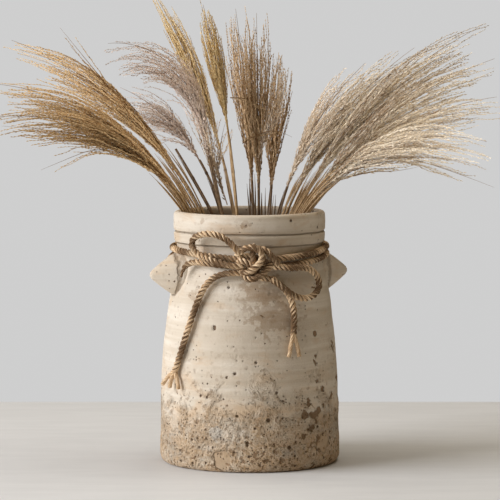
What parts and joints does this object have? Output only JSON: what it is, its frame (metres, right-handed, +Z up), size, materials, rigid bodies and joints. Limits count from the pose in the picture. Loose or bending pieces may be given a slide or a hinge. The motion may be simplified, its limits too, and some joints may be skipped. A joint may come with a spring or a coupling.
{
  "type": "flower vase",
  "caption": "Rustic stoneware vase with a banded collar and two pinched lugs, tied with a jute bow and holding a spray of dried plume grasses.",
  "frame": {"origin": "centre of the vase's flat base, on the axis the vase was thrown on", "axes": "+Z up the vase's axis; +X to the right, with the bow facing -Y; +Y to the back"},
  "size_m": [0.4997, 0.2458, 0.4635],
  "materials": {
    "vase_clay": "matte",
    "jute_twine": "matte",
    "straw_stem": "matte",
    "dark_stem": "matte",
    "golden_plume": "matte",
    "pale_plume": "matte"
  },
  "bodies": {
    "vase": {"vase_body": "vase_clay", "lug_left": "vase_clay", "lug_right": "vase_clay", "twine_wrap_upper": "jute_twine", "twine_wrap_lower": "jute_twine", "twine_wrap_left": "jute_twine", "bow_loop_left": "jute_twine", "bow_loop_right": "jute_twine", "twine_tail_left": "jute_twine", "twine_tail_right": "jute_twine", "twine_end_left": "jute_twine", "twine_end_right": "jute_twine", "bow_knot": "jute_twine"},
    "grass_left_high": {"grass_left_high_stem": "straw_stem", "grass_left_high_plume": "golden_plume"},
    "grass_left_middle": {"grass_left_middle_stem": "straw_stem", "grass_left_middle_plume": "golden_plume"},
    "grass_left_low": {"grass_left_low_stem": "straw_stem", "grass_left_low_plume": "golden_plume"},
    "bare_stem_left": {"bare_stem_left": "dark_stem"},
    "grass_arching": {"grass_arching_stem": "straw_stem", "grass_arching_plume": "pale_plume"},
    "grass_left_back": {"grass_left_back_stem": "straw_stem", "grass_left_back_plume": "golden_plume"},
    "grass_golden": {"grass_golden_stem": "straw_stem", "grass_golden_plume": "golden_plume"},
    "grass_tall": {"grass_tall_stem": "straw_stem", "grass_tall_plume": "golden_plume"},
    "grass_centre_back": {"grass_centre_back_stem": "straw_stem", "grass_centre_back_plume": "golden_plume"},
    "grass_centre_front": {"grass_centre_front_stem": "straw_stem", "grass_centre_front_plume": "golden_plume"},
    "grass_centre_right": {"grass_centre_right_stem": "straw_stem", "grass_centre_right_plume": "golden_plume"},
    "grass_right_front": {"grass_right_front_stem": "straw_stem", "grass_right_front_plume": "pale_plume"},
    "grass_right_back": {"grass_right_back_stem": "straw_stem", "grass_right_back_plume": "pale_plume"},
    "grass_right_high": {"grass_right_high_stem": "straw_stem", "grass_right_high_plume": "pale_plume"},
    "grass_right_middle": {"grass_right_middle_stem": "straw_stem", "grass_right_middle_plume": "pale_plume"},
    "grass_right_low": {"grass_right_low_stem": "straw_stem", "grass_right_low_plume": "pale_plume"},
    "grass_right_lowest": {"grass_right_lowest_stem": "straw_stem", "grass_right_lowest_plume": "pale_plume"},
    "bare_stem_right_back": {"bare_stem_right_back": "dark_stem"},
    "bare_stem_right_front": {"bare_stem_right_front": "dark_stem"}
  },
  "joints": [
    {"name": "grass_left_high_lift", "type": "slide", "parent": "vase", "child": "grass_left_high", "axis": [0, 0, 1], "range_m": [0, 0.26]},
    {"name": "grass_left_middle_lift", "type": "slide", "parent": "vase", "child": "grass_left_middle", "axis": [0, 0, 1], "range_m": [0, 0.26]},
    {"name": "grass_left_low_lift", "type": "slide", "parent": "vase", "child": "grass_left_low", "axis": [0, 0, 1], "range_m": [0, 0.26]},
    {"name": "bare_stem_left_lift", "type": "slide", "parent": "vase", "child": "bare_stem_left", "axis": [0, 0, 1], "range_m": [0, 0.26]},
    {"name": "grass_arching_lift", "type": "slide", "parent": "vase", "child": "grass_arching", "axis": [0, 0, 1], "range_m": [0, 0.26]},
    {"name": "grass_left_back_lift", "type": "slide", "parent": "vase", "child": "grass_left_back", "axis": [0, 0, 1], "range_m": [0, 0.26]},
    {"name": "grass_golden_lift", "type": "slide", "parent": "vase", "child": "grass_golden", "axis": [0, 0, 1], "range_m": [0, 0.26]},
    {"name": "grass_tall_lift", "type": "slide", "parent": "vase", "child": "grass_tall", "axis": [0, 0, 1], "range_m": [0, 0.26]},
    {"name": "grass_centre_back_lift", "type": "slide", "parent": "vase", "child": "grass_centre_back", "axis": [0, 0, 1], "range_m": [0, 0.26]},
    {"name": "grass_centre_front_lift", "type": "slide", "parent": "vase", "child": "grass_centre_front", "axis": [0, 0, 1], "range_m": [0, 0.26]},
    {"name": "grass_centre_right_lift", "type": "slide", "parent": "vase", "child": "grass_centre_right", "axis": [0, 0, 1], "range_m": [0, 0.26]},
    {"name": "grass_right_front_lift", "type": "slide", "parent": "vase", "child": "grass_right_front", "axis": [0, 0, 1], "range_m": [0, 0.26]},
    {"name": "grass_right_back_lift", "type": "slide", "parent": "vase", "child": "grass_right_back", "axis": [0, 0, 1], "range_m": [0, 0.26]},
    {"name": "grass_right_high_lift", "type": "slide", "parent": "vase", "child": "grass_right_high", "axis": [0, 0, 1], "range_m": [0, 0.26]},
    {"name": "grass_right_middle_lift", "type": "slide", "parent": "vase", "child": "grass_right_middle", "axis": [0, 0, 1], "range_m": [0, 0.26]},
    {"name": "grass_right_low_lift", "type": "slide", "parent": "vase", "child": "grass_right_low", "axis": [0, 0, 1], "range_m": [0, 0.26]},
    {"name": "grass_right_lowest_lift", "type": "slide", "parent": "vase", "child": "grass_right_lowest", "axis": [0, 0, 1], "range_m": [0, 0.26]},
    {"name": "bare_stem_right_back_lift", "type": "slide", "parent": "vase", "child": "bare_stem_right_back", "axis": [0, 0, 1], "range_m": [0, 0.26]},
    {"name": "bare_stem_right_front_lift", "type": "slide", "parent": "vase", "child": "bare_stem_right_front", "axis": [0, 0, 1], "range_m": [0, 0.26]}
  ]
}
